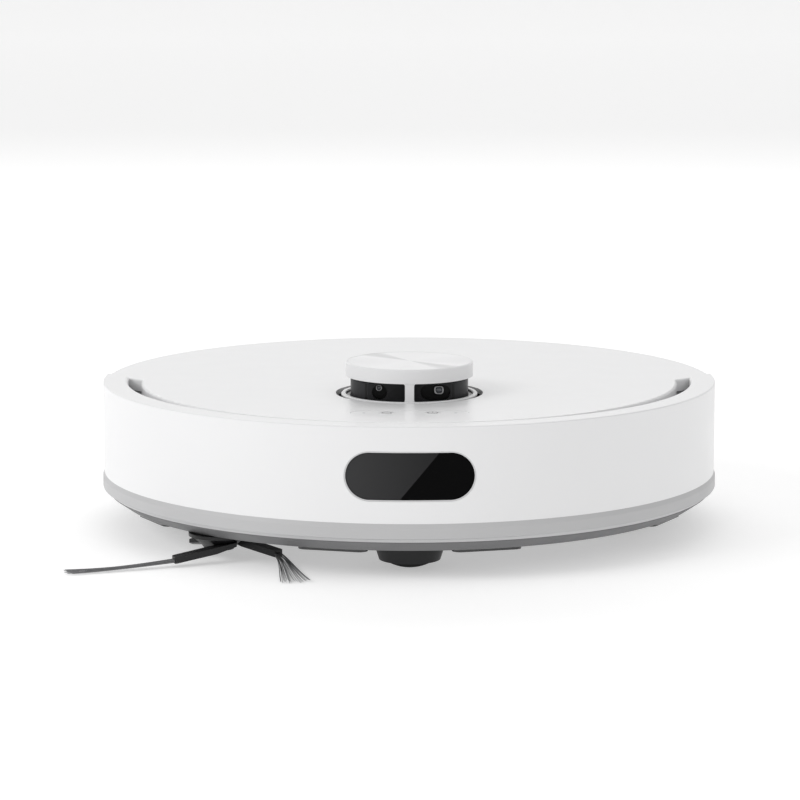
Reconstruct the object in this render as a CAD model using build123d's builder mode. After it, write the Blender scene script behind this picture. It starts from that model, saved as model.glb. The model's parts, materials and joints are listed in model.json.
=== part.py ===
"""Round robot vacuum cleaner with a lidar turret, built as separate working pieces.

Millimetres. The origin is on the floor under the middle of the body. +Z is up, the bumper
faces -Y and +X is the machine's side with the fan.
"""

from build123d import *
from math import cos, radians, sin, sqrt
import os

os.makedirs("parts", exist_ok=True)

# --- Driving dimensions -------------------------------------------------------------------

# Body
skirt_r = 175.0  # widest point, the rubber-like strip round the body
shell_r = 174.2  # bumper and rear shell
wall = 2.5
skirt_bottom = 23.2
skirt_top = 31.3
skirt_flank = 28.8  # top of the strip's upright face
rim_top = 82.6
contact_face = 173.0  # rear charging contacts
contact_x = 22.0
contact_z = 41.0
contact_width = 14.0
contact_height = 8.0
rear_window_length = 44.0
rear_window_height = 14.0
running_gap = 0.06  # between a shaft and its bore
floor_z = 15.0  # underside of the chassis
pan_z = 18.5  # inner face of the chassis floor
lip_r = 172.0
lip_top = 22.5
tub_r = 166.0  # upright wall inside the bumper
tub_wall = 3.0
deck_bottom = 71.5
deck_top = 74.0

# Seam between the bumper and the rear half: straight across, then stepped at each side
bumper_travel = 3.0
seam_gap = bumper_travel + 0.3
seam_inner = (154.5, -2.0)
seam_outer = (173.5, 14.0)
beyond = 200.0  # past every outline

# Lift-off cover
cover_front_r = 152.6
cover_bottom = 78.4
cover_top = 81.3
cover_edge = 1.2

# Turret
turret_y = -49.0
turret_hole_r = 41.0
deck_hole_r = 36.0
ring_flange_r = 40.6
ring_flange_top = deck_top + 1.8
ring_outer_r = 37.9
ring_inner_r = 35.3
ring_top = 81.4
cap_r = 35.4
cap_bottom = 91.2
cap_top = 99.1
cage_inner_r = 33.0  # the cap's posts run just outside the rotor
cage_outer_r = 35.0
cage_bottom = 77.0
cage_sill = 80.2  # lower edge of the windows between the posts
rotor_r = 32.7
rotor_bottom = 76.5
rotor_top = 90.0
belt_low = 67.0
belt_high = 70.0
lidar_motor_x = 50.0
rotor_groove_r = 20.0
rotor_neck_r = 22.0
bearing_r = 6.0
base_bottom = 60.0
base_floor = 62.5
pulley_r = 4.5

# Buttons
button_y = -120.0
button_x = 12.3
button_r = 4.2
button_gap = 0.2
led_x = 24.6
panel_length = 63.4
panel_width = 13.4

# Window in the bumper
window_z = 56.3
window_length = 67.5
window_height = 25.0

# Caster
caster_y = -135.0
caster_wheel_r = 11.0
caster_wheel_width = 22.0
caster_trail = 1.0
stem_r = 4.0
stem_top = 40.0
axle_half = 14.4

# Side brush
side_x = -103.0
side_y = -110.0
side_hub_r = 16.7

# Drive wheels
wheel_x = 118.0
wheel_r = 35.0
wheel_width = 24.0
pivot_y = 44.0
pivot_z = 42.0
pivot_r = 3.0
rim_r = 29.0
stub_r = 4.0

# Main brush
brush_y = 40.0
brush_z = 21.5
brush_r = 20.5
brush_left = -75.0
brush_right = 79.0

# Dust bin
bin_half_width = 74.0
bin_front = 72.0
bin_rear_r = 160.0
bin_bottom = 19.0
bin_top = 70.0
intake_half = 38.0

# Fan
fan_x = 104.0
fan_y = 84.5
fan_r = 25.5

# Battery
battery_half_width = 68.0
battery_rear = -34.0
battery_front = -104.0

columns = [(55, -135), (-55, -135), (92, -72), (-92, -72), (83, 130), (-83, 130)]


# --- Helpers, each adding to the piece that is open --------------------------------------


def upright(x, y):
    """Vertical plane through a point, seen from the front."""
    return Plane(origin=(x, y, 0), x_dir=(1, 0, 0), z_dir=(0, -1, 0))


def turn(points, x=0, y=0, mode=Mode.ADD):
    """Turn a profile of (radius, height) points about the vertical line at x, y."""
    with BuildSketch(upright(x, y)) as profile:
        Polygon(*points, align=None)
    revolve(profile.sketch, axis=Axis((x, y, 0), (0, 0, 1)), mode=mode)


def block(x0, x1, y0, y1, z0, z1, mode=Mode.ADD):
    """A box between two corners."""
    with Locations(((x0 + x1) / 2, (y0 + y1) / 2, (z0 + z1) / 2)):
        Box(x1 - x0, y1 - y0, z1 - z0, mode=mode)


def post(x, y, r, z0, z1, mode=Mode.ADD):
    """A vertical cylinder."""
    with Locations((x, y, (z0 + z1) / 2)):
        Cylinder(r, z1 - z0, mode=mode)


def rod(x0, x1, y, z, r, mode=Mode.ADD):
    """A cylinder along X."""
    with Locations(((x0 + x1) / 2, y, z)):
        Cylinder(r, x1 - x0, rotation=(0, 90, 0), mode=mode)


def keep_front():
    """Leave only what is ahead of the stepped seam."""
    y_out = seam_outer[1] + (beyond - seam_outer[0]) * seam_slope - seam_gap / 2
    y_in = seam_inner[1] - seam_gap / 2
    with BuildSketch() as zone:
        Polygon(
            (-beyond, -beyond),
            (beyond, -beyond),
            (beyond, y_out),
            (seam_inner[0], y_in),
            (-seam_inner[0], y_in),
            (-beyond, y_out),
            align=None,
        )
    extrude(zone.sketch, amount=2 * cap_top, mode=Mode.INTERSECT)


def rear_zone(x_in):
    """Plan outline of what is behind the stepped seam, as a face in the open sketch."""
    y_out = seam_outer[1] + (beyond - seam_outer[0]) * seam_slope + seam_gap / 2
    y_in = seam_inner[1] + seam_gap / 2
    y_mid = y_in + (x_in - seam_inner[0]) * seam_slope
    Polygon(
        (-beyond, beyond),
        (-beyond, y_out),
        (-x_in, y_mid),
        (x_in, y_mid),
        (beyond, y_out),
        (beyond, beyond),
        align=None,
        mode=Mode.INTERSECT,
    )


def keep_rear():
    """Leave only what is behind the stepped seam."""
    with BuildSketch() as zone:
        Rectangle(2 * beyond, 2 * beyond)
        rear_zone(seam_inner[0])
    extrude(zone.sketch, amount=2 * cap_top, mode=Mode.INTERSECT)


def save(piece, name):
    """Label a finished piece and write it."""
    piece.part.label = name
    export_step(piece.part, f"parts/{name}.step")


seam_slope = (seam_outer[1] - seam_inner[1]) / (seam_outer[0] - seam_inner[0])

# --- Chassis -------------------------------------------------------------------------------

tub_inner_r = tub_r - tub_wall
well_inner, well_outer = 87.0, 134.0
well_front, well_rear = -40.0, 53.0
bay_front, bay_rear = 19.0, 61.0
socket_r = 22.0
cliff_angles = (-15, 15, -62, 62)
cliff_r = 157.0

with BuildPart() as lower_housing:
    turn(
        [
            (0, floor_z),
            (164, floor_z),
            (lip_r, lip_top - 2),
            (lip_r, lip_top),
            (tub_inner_r, lip_top),
            (tub_inner_r - 3, pan_z),
            (0, pan_z),
        ]
    )
    for side in (-1, 1):
        block(
            *sorted((side * well_inner, side * well_outer)),
            well_front,
            well_rear,
            0,
            lip_top,
            mode=Mode.SUBTRACT,
        )
    block(brush_left - 1, brush_right + 3, bay_front, bay_rear, 0, pan_z + 1, mode=Mode.SUBTRACT)
    block(
        -battery_half_width - 2,
        battery_half_width + 2,
        battery_front - 2,
        battery_rear + 2,
        0,
        pan_z + 1,
        mode=Mode.SUBTRACT,
    )
    post(0, caster_y, socket_r, 0, pan_z + 1, mode=Mode.SUBTRACT)
    post(side_x, side_y, 6, 0, pan_z + 1, mode=Mode.SUBTRACT)
    for x, y in columns:
        post(x, y, 3.4, 0, floor_z + 1.8, mode=Mode.SUBTRACT)
        post(x, y, 1.5, 0, pan_z + 1, mode=Mode.SUBTRACT)
save(lower_housing, "lower_housing")

outlet_z = 50.0
outlet_angle = 39.0

with BuildPart() as chassis_wall:
    turn([(tub_inner_r, lip_top), (tub_r, lip_top), (tub_r, deck_bottom), (tub_inner_r, deck_bottom)])
    with Locations(Location((0, 0, outlet_z), (0, 0, outlet_angle))):
        with Locations((tub_r - 2, 0, 0)):
            Box(14, 34, 26, mode=Mode.SUBTRACT)
save(chassis_wall, "chassis_wall")

with BuildPart() as battery_door:
    block(
        -battery_half_width - 1.7,
        battery_half_width + 1.7,
        battery_front - 1.7,
        battery_rear + 1.7,
        floor_z,
        floor_z + 2.5,
    )
    fillet(battery_door.edges().filter_by(Axis.Z), 1.2)
    with Locations((0, battery_front + 4, floor_z)):
        Box(26, 5, 1.6, mode=Mode.SUBTRACT)
save(battery_door, "battery_door")

with BuildPart() as rear_shell:
    turn(
        [
            (171.0, lip_top),
            (172.2, lip_top),
            (172.2, skirt_top),
            (shell_r, skirt_top),
            (shell_r, cover_bottom - 0.3),
            (shell_r - wall, cover_bottom - 0.3),
            (shell_r - wall, deck_top),
            (tub_r + 0.2, deck_top),
            (tub_r + 0.2, deck_bottom),
            (171.0, deck_bottom),
        ]
    )
    keep_rear()
    # air outlet grille
    with PolarLocations(shell_r - 1, 11, start_angle=29, angular_range=20):
        Box(12, 3.2, 24, mode=Mode.SUBTRACT)
    with Locations((contact_x, shell_r, contact_z), (-contact_x, shell_r, contact_z)):
        Box(contact_width + 0.4, 12, contact_height + 0.4, mode=Mode.SUBTRACT)
    with BuildSketch(Plane.XZ.offset(-160)):
        with Locations((0, window_z)):
            SlotOverall(rear_window_length + 0.6, rear_window_height + 0.6)
    extrude(amount=-30, mode=Mode.SUBTRACT)
save(rear_shell, "rear_shell")

with BuildPart() as rear_skirt:
    turn(
        [
            (172.2, skirt_bottom),
            (skirt_r, skirt_bottom),
            (skirt_r, skirt_flank),
            (shell_r, skirt_top),
            (172.2, skirt_top),
        ]
    )
    keep_rear()
save(rear_skirt, "rear_skirt")

with BuildPart() as charging_contacts:
    for side in (-1, 1):
        block(
            side * contact_x - contact_width / 2,
            side * contact_x + contact_width / 2,
            contact_face - 6.8,
            contact_face,
            contact_z - contact_height / 2,
            contact_z + contact_height / 2,
        )
save(charging_contacts, "charging_contacts")

with BuildPart() as rear_window:
    with BuildSketch(Plane.XZ.offset(-160)):
        with Locations((0, window_z)):
            SlotOverall(rear_window_length, rear_window_height)
    extrude(amount=-30)
    turn(
        [(shell_r - 3, 40), (shell_r - 0.6, 40), (shell_r - 0.6, 75), (shell_r - 3, 75)],
        mode=Mode.INTERSECT,
    )
save(rear_window, "rear_window")

with BuildPart() as cliff_sensors:
    for angle in cliff_angles:
        with BuildSketch(Plane.XY.offset(floor_z)) as sensor:
            place = (cliff_r * sin(radians(angle)), -cliff_r * cos(radians(angle)), 0)
            with Locations(Location(place, angle)):
                SlotOverall(38, 9)
        extrude(sensor.sketch, amount=-1.7)
save(cliff_sensors, "cliff_sensors")

with BuildPart() as mid_deck:
    post(0, 0, tub_r - 0.2, deck_bottom, deck_top)
    with BuildSketch(Plane.XY.offset(deck_bottom)):
        Circle(bin_rear_r + 1)
        with Locations((0, bin_front - 3 + beyond / 2)):
            Rectangle(2 * bin_half_width + 6, beyond, mode=Mode.INTERSECT)
    extrude(amount=10, mode=Mode.SUBTRACT)
    post(0, turret_y, deck_hole_r, 0, beyond, mode=Mode.SUBTRACT)
    for x, y in columns:
        post(x, y, 4.2, pan_z, deck_bottom)
        post(x, y, 1.3, 0, 30, mode=Mode.SUBTRACT)
save(mid_deck, "mid_deck")

with BuildPart() as housing_screws:
    for x, y in columns:
        post(x, y, 3, floor_z + 0.2, floor_z + 1.8)
        post(x, y, 1.25, floor_z + 1.8, 28)
        with Locations((x, y, floor_z)):
            Box(3.4, 0.8, 1.6, mode=Mode.SUBTRACT)
            Box(0.8, 3.4, 1.6, mode=Mode.SUBTRACT)
save(housing_screws, "housing_screws")

with BuildPart() as cover_magnets:
    for x, y in ((120, 60), (-120, 60), (70, -115), (-70, -115)):
        post(x, y, 5, deck_top, cover_bottom - 0.5)
save(cover_magnets, "cover_magnets")

with BuildPart() as bumper_switches:
    for angle in (-38, 38):
        place = (tub_r * sin(radians(angle)), -tub_r * cos(radians(angle)), 60)
        with Locations(Location(place, (0, 0, angle))):
            with Locations((0, -0.5, 0)):
                Box(14, 3, 8)
            with Locations((3, -2.3, 0)):
                Box(3, 0.8, 3)
    post(0, 0, tub_r, 0, beyond, mode=Mode.SUBTRACT)
save(bumper_switches, "bumper_switches")

# --- Bumper --------------------------------------------------------------------------------

rim_outer_r, rim_crest_r, rim_inner_r = 173.7, 161.9, 160.4
window_plane = Plane.XZ.offset(150)

with BuildPart() as bumper_shell:
    turn(
        [
            (shell_r - wall, skirt_top),
            (shell_r, skirt_top),
            (shell_r, rim_top - 0.6),
            (rim_outer_r, rim_top),
            (rim_crest_r, rim_top),
            (rim_crest_r - 0.9, rim_top - 0.4),
            (rim_inner_r, rim_top - 1.4),
            (rim_inner_r, deck_top + 0.5),
            (rim_inner_r + 1.8, deck_top + 0.5),
            (rim_inner_r + 1.8, rim_top - 2.6),
            (shell_r - wall, rim_top - 2.6),
        ]
    )
    keep_front()
    with BuildSketch(window_plane):
        with Locations((0, window_z)):
            SlotOverall(window_length + 1.6, window_height + 1.6)
    extrude(amount=40, mode=Mode.SUBTRACT)
save(bumper_shell, "bumper_shell")

with BuildPart() as bumper_skirt:
    turn(
        [
            (shell_r - wall, skirt_bottom),
            (skirt_r, skirt_bottom),
            (skirt_r, skirt_flank),
            (shell_r, skirt_top),
            (shell_r - wall, skirt_top),
        ]
    )
    keep_front()
save(bumper_skirt, "bumper_skirt")

with BuildPart() as bumper_bezel:
    with BuildSketch(window_plane):
        with Locations((0, window_z)):
            SlotOverall(window_length + 1.5, window_height + 1.5)
            SlotOverall(window_length + 0.1, window_height + 0.1, mode=Mode.SUBTRACT)
    extrude(amount=40)
    turn([(171, 40), (shell_r - 0.35, 40), (shell_r - 0.35, 75), (171, 75)], mode=Mode.INTERSECT)
save(bumper_bezel, "bumper_bezel")

with BuildPart() as bumper_window:
    with BuildSketch(window_plane):
        with Locations((0, window_z)):
            SlotOverall(window_length, window_height)
    extrude(amount=40)
    turn([(171, 40), (shell_r - 0.8, 40), (shell_r - 0.8, 75), (171, 75)], mode=Mode.INTERSECT)
save(bumper_window, "bumper_window")

# --- Cover ---------------------------------------------------------------------------------

with BuildPart() as top_cover:
    with BuildSketch(Plane.XY.offset(cover_bottom)) as plate:
        Circle(shell_r - 0.2)
        rear_zone(seam_inner[0] - 8)
        Circle(cover_front_r)
        with Locations((0, turret_y)):
            Circle(turret_hole_r, mode=Mode.SUBTRACT)
        with Locations((0, button_y)):
            SlotOverall(panel_length + 2 * button_gap, panel_width + 2 * button_gap, mode=Mode.SUBTRACT)
    extrude(amount=cover_top - cover_bottom)
    fillet(top_cover.faces().sort_by(Axis.Z)[-1].outer_wire().edges(), cover_edge)
    with BuildSketch(Plane.XY.offset(cover_bottom)) as skirt:
        Circle(shell_r - wall - 0.5)
        rear_zone(seam_inner[0] - 8)
        Circle(cover_front_r)
        offset(amount=-2.2, kind=Kind.INTERSECTION, mode=Mode.SUBTRACT)
    extrude(skirt.sketch, amount=-(cover_bottom - deck_top - 0.3))
save(top_cover, "top_cover")

with BuildPart() as button_panel:
    with BuildSketch(Plane.XY.offset(deck_top)):
        with Locations((0, button_y)):
            SlotOverall(panel_length, panel_width)
    extrude(amount=cover_top - 0.1 - deck_top)
    for side in (-1, 1):
        post(side * button_x, button_y, button_r + button_gap, deck_top + 1, cap_top, mode=Mode.SUBTRACT)
        post(side * led_x, button_y, 1.0, cover_top - 3, cap_top, mode=Mode.SUBTRACT)
save(button_panel, "button_panel")

with BuildPart() as button_leds:
    for side in (-1, 1):
        post(side * led_x, button_y, 0.9, cover_top - 3, cover_top - 0.15)
save(button_leds, "button_leds")

for name, side in (("home_button", -1), ("power_button", 1)):
    with BuildPart() as button:
        post(side * button_x, button_y, button_r, deck_top + 1.8, cover_top)
        fillet(button.edges().sort_by(Axis.Z)[-1], 0.3)
    save(button, name)

# --- Turret --------------------------------------------------------------------------------

with BuildPart() as turret_ring:
    turn(
        [
            (deck_hole_r, deck_top),
            (ring_flange_r, deck_top),
            (ring_flange_r, ring_flange_top),
            (ring_outer_r, ring_flange_top),
            (ring_outer_r, ring_top - 0.4),
            (ring_outer_r - 0.4, ring_top),
            (ring_inner_r + 0.4, ring_top),
            (ring_inner_r, ring_top - 0.4),
            (ring_inner_r, ring_flange_top),
            (deck_hole_r, ring_flange_top),
        ],
        0,
        turret_y,
    )
save(turret_ring, "turret_ring")

base_wall = 38.0
with BuildPart() as lidar_base:
    post(0, turret_y, base_wall, base_bottom, deck_bottom)
    post(0, turret_y, base_wall - 2.5, base_floor, beyond, mode=Mode.SUBTRACT)
    post(lidar_motor_x, turret_y, 11, base_bottom, base_floor)
    block(base_wall - 5, lidar_motor_x, turret_y - 9, turret_y + 9, base_bottom, base_floor)
    block(
        base_wall - 5,
        lidar_motor_x + 12,
        turret_y - 12,
        turret_y + 12,
        belt_low - 1.5,
        deck_top,
        mode=Mode.SUBTRACT,
    )
    post(lidar_motor_x, turret_y, 1.6, 50, 70, mode=Mode.SUBTRACT)
    post(0, turret_y, bearing_r, base_bottom, 73)
save(lidar_base, "lidar_base")

with BuildPart() as lidar_motor:
    post(lidar_motor_x, turret_y, 9, 46.8, base_bottom)
    post(lidar_motor_x, turret_y, 1, base_bottom, belt_high)
save(lidar_motor, "lidar_motor")

with BuildPart() as lidar_belt:
    for play, mode in ((1.3, Mode.ADD), (0.3, Mode.SUBTRACT)):
        with BuildSketch(Plane.XY.offset(belt_low + 0.5)) as loop:
            with Locations((0, turret_y)):
                Circle(rotor_groove_r + play)
            with Locations((lidar_motor_x, turret_y)):
                Circle(pulley_r + play)
            make_hull()
        extrude(loop.sketch, amount=belt_high - belt_low - 1, mode=mode)
save(lidar_belt, "lidar_belt")

with BuildPart() as lidar_pulley:
    post(lidar_motor_x, turret_y, pulley_r, belt_low - 1, belt_high + 0.5)
    post(lidar_motor_x, turret_y, 1 + running_gap, 0, beyond, mode=Mode.SUBTRACT)
save(lidar_pulley, "lidar_pulley")

lens_front = turret_y - 23.2
eye_x, aperture_x = -16.5, 14.3
lens_z = 84.9

with BuildPart() as lidar_rotor:
    turn(
        [
            (bearing_r + running_gap, 64),
            (rotor_neck_r, 64),
            (rotor_neck_r, belt_low),
            (rotor_groove_r, belt_low),
            (rotor_groove_r, belt_high),
            (rotor_neck_r, belt_high),
            (rotor_neck_r, rotor_bottom),
            (rotor_r, rotor_bottom),
            (rotor_r, rotor_top),
            (0, rotor_top),
            (0, 74),
            (bearing_r + running_gap, 74),
        ],
        0,
        turret_y,
    )
    block(-40, 40, turret_y - 40, lens_front, rotor_bottom + 2.5, cap_top, mode=Mode.SUBTRACT)
    with BuildSketch(Plane.XZ.offset(-lens_front)) as apertures:
        with Locations((eye_x, lens_z)):
            Circle(4.15)
        with Locations((aperture_x, lens_z)):
            SlotOverall(16.5, 8.4)
    extrude(apertures.sketch, amount=-4, mode=Mode.SUBTRACT)
save(lidar_rotor, "lidar_rotor")

with BuildPart() as lidar_lenses:
    with BuildSketch(Plane.XZ.offset(-lens_front - 1.5)) as lenses:
        with Locations((eye_x - 0.3, lens_z + 2.1)):
            Circle(1.7)
        with Locations((aperture_x + 1.9, lens_z + 0.6)):
            RectangleRounded(5.2, 4.6, 1.4)
    extrude(lenses.sketch, amount=-2.5)
save(lidar_lenses, "lidar_lenses")

disc_r = cap_r - 1.0
disc_recess = 0.7
cap_hollow_r = 31.6
cap_ceiling = cap_top - 3.5
post_width = 5.0
window_reach = 80.0
window_corner = 1.3
window_foot = 2.2  # larger corners where the posts rise from the cage's lower ring


def spokes(windows):
    """The level edges that run out from the turret's middle."""
    longest = 1.25 * window_reach
    return windows.edges().filter_by(lambda edge: window_reach / 2 < edge.length < longest)


with BuildPart() as cage_windows:
    with BuildSketch(Plane.XY.offset(cage_sill)) as sectors:
        with Locations((0, turret_y)):
            with PolarLocations(post_width / sqrt(3), 3, start_angle=-30):
                Polygon(
                    (0, 0),
                    (window_reach * cos(radians(60)), window_reach * sin(radians(60))),
                    (window_reach * cos(radians(60)), -window_reach * sin(radians(60))),
                    align=None,
                )
    extrude(sectors.sketch, amount=cap_bottom - cage_sill)
    fillet(spokes(cage_windows).group_by(Axis.Z)[-1], window_corner)
    fillet(spokes(cage_windows).group_by(Axis.Z)[0], window_foot)

with BuildPart() as turret_cap:
    turn(
        [
            (cage_inner_r, cage_bottom),
            (cage_outer_r, cage_bottom),
            (cage_outer_r, cap_bottom + 1),
            (cage_inner_r, cap_bottom + 1),
        ],
        0,
        turret_y,
    )
    add(cage_windows.part, mode=Mode.SUBTRACT)
    turn(
        [
            (cap_hollow_r, cap_bottom),
            (cap_r, cap_bottom),
            (cap_r, cap_top - 0.6),
            (cap_r - 0.6, cap_top),
            (disc_r + 0.1, cap_top),
            (disc_r + 0.1, cap_top - disc_recess),
            (0, cap_top - disc_recess),
            (0, cap_ceiling),
            (cap_hollow_r, cap_ceiling),
        ],
        0,
        turret_y,
    )
save(turret_cap, "turret_cap")

with BuildPart() as turret_cap_disc:
    post(0, turret_y, disc_r, cap_top - disc_recess, cap_top - 0.05)
save(turret_cap_disc, "turret_cap_disc")

# --- Electronics and power -----------------------------------------------------------------

with BuildPart() as battery_pack:
    block(-battery_half_width, battery_half_width, battery_front, battery_rear, pan_z, 41)
    fillet(battery_pack.edges().filter_by(Axis.Z), 4)
    fillet(battery_pack.faces().sort_by(Axis.Z)[-1].edges(), 2)
save(battery_pack, "battery_pack")

with BuildPart() as main_board:
    block(-62, 62, -106, 14, 44.5, 46.1)
    for x, y, size in ((-30, -60, 14), (8, -70, 10), (-28, -20, 12), (20, -12, 8), (-48, -90, 9)):
        block(x, x + size, y, y + size, 46.1, 47.6)
    for x, y in ((-50, 4), (-30, 4), (34, 4)):
        block(x, x + 12, y, y + 6, 46.1, 51)
save(main_board, "main_board")

with BuildPart() as speaker:
    post(98, -105, 16, pan_z, 34)
    post(98, -105, 12, 32, 40, mode=Mode.SUBTRACT)
save(speaker, "speaker")

# --- Side brush ----------------------------------------------------------------------------

arm_tip = (-23.0, -24.3)
arm_heading = 204.8
arm_length = 36.0
arm_envelope = 40.0  # past the arm on every side
bristle_length = 62.0
bristle_low = 0.4
bristle_height = 4.2

with BuildPart() as side_brush_motor:
    turn([(0, pan_z), (9, pan_z), (9, 23), (11, 23), (11, 46), (0, 46)], side_x, side_y)
    post(side_x, side_y, 2.5, 9.5, pan_z)
save(side_brush_motor, "side_brush_motor")

with BuildPart() as brush_arm:
    with BuildSketch() as outline:
        Polygon((10, -13), (10, -5.5), (-24.5, -21.2), (-22, -27.4), align=None)
        fillet(outline.vertices().sort_by(Axis.X)[:2], 1.2)
    extrude(outline.sketch, amount=arm_envelope)
    heading = (cos(radians(arm_heading)), sin(radians(arm_heading)), 0)
    across = (-heading[1], heading[0], 0)
    with BuildSketch(Plane(origin=(*arm_tip, 0), x_dir=heading, z_dir=across)) as droop:
        Polygon(
            (5, -1.6),
            (5, -5.0),
            (0, -5.8),
            (-arm_length - 4, -11.6),
            (-arm_length - 4, -10.2),
            (-0.65 * arm_length, -5.6),
            align=None,
        )
    extrude(droop.sketch, amount=arm_envelope, both=True, mode=Mode.INTERSECT)

with BuildPart() as side_brush_hub:
    turn(
        [
            (2.56, 8.2),
            (10, 8.2),
            (15.2, 12.2),
            (side_hub_r, 12.8),
            (side_hub_r, 14.6),
            (2.56, 14.6),
        ],
        side_x,
        side_y,
    )
    turn([(0, 5.4), (8, 5.4), (10, 8.2), (0, 8.2)], side_x, side_y)
    post(side_x, side_y, 3.4, 0, 6.2, mode=Mode.SUBTRACT)
    post(side_x, side_y, 1.3, 0, 10, mode=Mode.SUBTRACT)
    with Locations((side_x, side_y)):
        with PolarLocations(0, 3):
            add(brush_arm.part)
save(side_brush_hub, "side_brush_hub")

with BuildPart() as side_brush_bristles:
    for angle, spread in ((0, 196), (120, 282), (240, 76)):
        turned = radians(angle)
        tip_x = side_x + arm_tip[0] * cos(turned) - arm_tip[1] * sin(turned)
        tip_y = side_y + arm_tip[0] * sin(turned) + arm_tip[1] * cos(turned)
        tip = Plane(origin=(tip_x, tip_y, bristle_low), z_dir=(0, 0, 1))
        with BuildSketch(tip.rotated((0, 0, spread))):
            Polygon(
                (0, -1.8),
                (bristle_length, -7),
                (bristle_length, 7),
                (0, 1.8),
                align=None,
            )
        extrude(amount=bristle_height)
save(side_brush_bristles, "side_brush_bristles")

with BuildPart() as side_brush_screw:
    post(side_x, side_y, 3, 4.6, 6.2)
    post(side_x, side_y, 1.2, 6.2, 9.4)
    with Locations((side_x, side_y, 4.6)):
        Box(4, 0.8, 1.2, mode=Mode.SUBTRACT)
        Box(0.8, 4, 1.2, mode=Mode.SUBTRACT)
save(side_brush_screw, "side_brush_screw")

# --- Caster --------------------------------------------------------------------------------

wheel_center_y = caster_y + caster_trail
axle_z = caster_wheel_r
axle_r = 1.5
fork_gap = 0.6

with BuildPart() as caster_socket:
    turn(
        [
            (socket_r - 1.5, floor_z),
            (socket_r - 0.3, floor_z),
            (socket_r - 0.3, 28),
            (8, 28),
            (8, 41),
            (stem_r + running_gap, 41),
            (stem_r + running_gap, 25.8),
            (socket_r - 1.5, 25.8),
        ],
        0,
        caster_y,
    )
save(caster_socket, "caster_socket")

with BuildPart() as caster_fork:
    turn(
        [(0, 5), (16.5, 5), (20, 16), (18, 24.8), (stem_r, 25.2), (stem_r, stem_top), (0, stem_top)],
        0,
        caster_y,
    )
    rod(
        -caster_wheel_width / 2 - fork_gap,
        caster_wheel_width / 2 + fork_gap,
        wheel_center_y,
        axle_z,
        caster_wheel_r + 0.8,
        mode=Mode.SUBTRACT,
    )
    rod(-axle_half - 0.6, axle_half + 0.6, wheel_center_y, axle_z, axle_r, mode=Mode.SUBTRACT)
save(caster_fork, "caster_fork")

with BuildPart() as caster_axle:
    rod(-axle_half, axle_half, wheel_center_y, axle_z, axle_r)
save(caster_axle, "caster_axle")

with BuildPart() as caster_wheel:
    half = caster_wheel_width / 2
    shoulder = caster_wheel_r - 2.6
    with BuildSketch(Plane.XZ.offset(-wheel_center_y)) as crown:
        with BuildLine():
            Polyline((-half, axle_z + shoulder), (-half, axle_z), (half, axle_z), (half, axle_z + shoulder))
            ThreePointArc(
                (half, axle_z + shoulder), (0, axle_z + caster_wheel_r), (-half, axle_z + shoulder)
            )
        make_face()
    revolve(crown.sketch, axis=Axis((0, wheel_center_y, axle_z), (1, 0, 0)))
    rod(-half - 1, half + 1, wheel_center_y, axle_z, axle_r + running_gap, mode=Mode.SUBTRACT)
save(caster_wheel, "caster_wheel")

# --- Drive wheels --------------------------------------------------------------------------

cheeks = (
    (well_inner - 1.3, well_inner + 1.4),
    (well_inner + 17.3, well_inner + 19.6),
)

with BuildPart() as suspension_mounts:
    for side in (-1, 1):
        for x0, x1 in cheeks:
            near, far = sorted((side * x0, side * x1))
            block(near, far, pivot_y - 6, pivot_y + 6, pivot_z, deck_bottom)
            rod(near, far, pivot_y, pivot_z, 6)
        rod(*sorted((side * cheeks[0][0], side * cheeks[1][1])), pivot_y, pivot_z, pivot_r)
        block(
            *sorted((side * cheeks[0][0], side * cheeks[1][1])),
            pivot_y - 6,
            pivot_y + 6,
            deck_bottom - 3,
            deck_bottom,
        )
save(suspension_mounts, "suspension_mounts")

hub_inner, hub_outer = wheel_x - 11, wheel_x + 11
arm_inner, arm_outer = cheeks[0][1] + 0.4, cheeks[1][0] - 0.4

for label, side in (("left", -1), ("right", 1)):
    with BuildPart() as drive_arm:
        with BuildSketch(Plane.YZ.offset(side * arm_inner)) as outline:
            with Locations((0, wheel_r)):
                Circle(17)
            with Locations((pivot_y, pivot_z)):
                Circle(8)
            make_hull()
        extrude(outline.sketch, amount=side * (arm_outer - arm_inner))
        rod(*sorted((side * arm_outer, side * (hub_outer - 1))), 0, wheel_r, stub_r)
        rod(*sorted((side * 80, side * 110)), pivot_y, pivot_z, pivot_r + running_gap, mode=Mode.SUBTRACT)
    save(drive_arm, f"drive_arm_{label}")

    with BuildPart() as wheel_hub:
        rod(*sorted((side * hub_inner, side * hub_outer)), 0, wheel_r, rim_r)
        with Locations(Location((side * hub_outer, 0, wheel_r), (0, 90, 0))):
            with PolarLocations(18, 6):
                Cylinder(6, 12, mode=Mode.SUBTRACT)
        bore = sorted((side * hub_inner, side * (hub_outer - 0.9)))
        rod(*bore, 0, wheel_r, stub_r + running_gap, mode=Mode.SUBTRACT)
    save(wheel_hub, f"wheel_hub_{label}")

    with BuildPart() as tyre:
        rod(side * wheel_x - wheel_width / 2, side * wheel_x + wheel_width / 2, 0, wheel_r, wheel_r)
        rod(side * wheel_x - 20, side * wheel_x + 20, 0, wheel_r, rim_r, mode=Mode.SUBTRACT)
        with Locations(Location((side * wheel_x, 0, wheel_r), (0, 90, 0))):
            with PolarLocations(wheel_r, 32):
                Box(2.4, 3, 30, mode=Mode.SUBTRACT)
    save(tyre, f"tyre_{label}")

# --- Main brush ----------------------------------------------------------------------------

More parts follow.
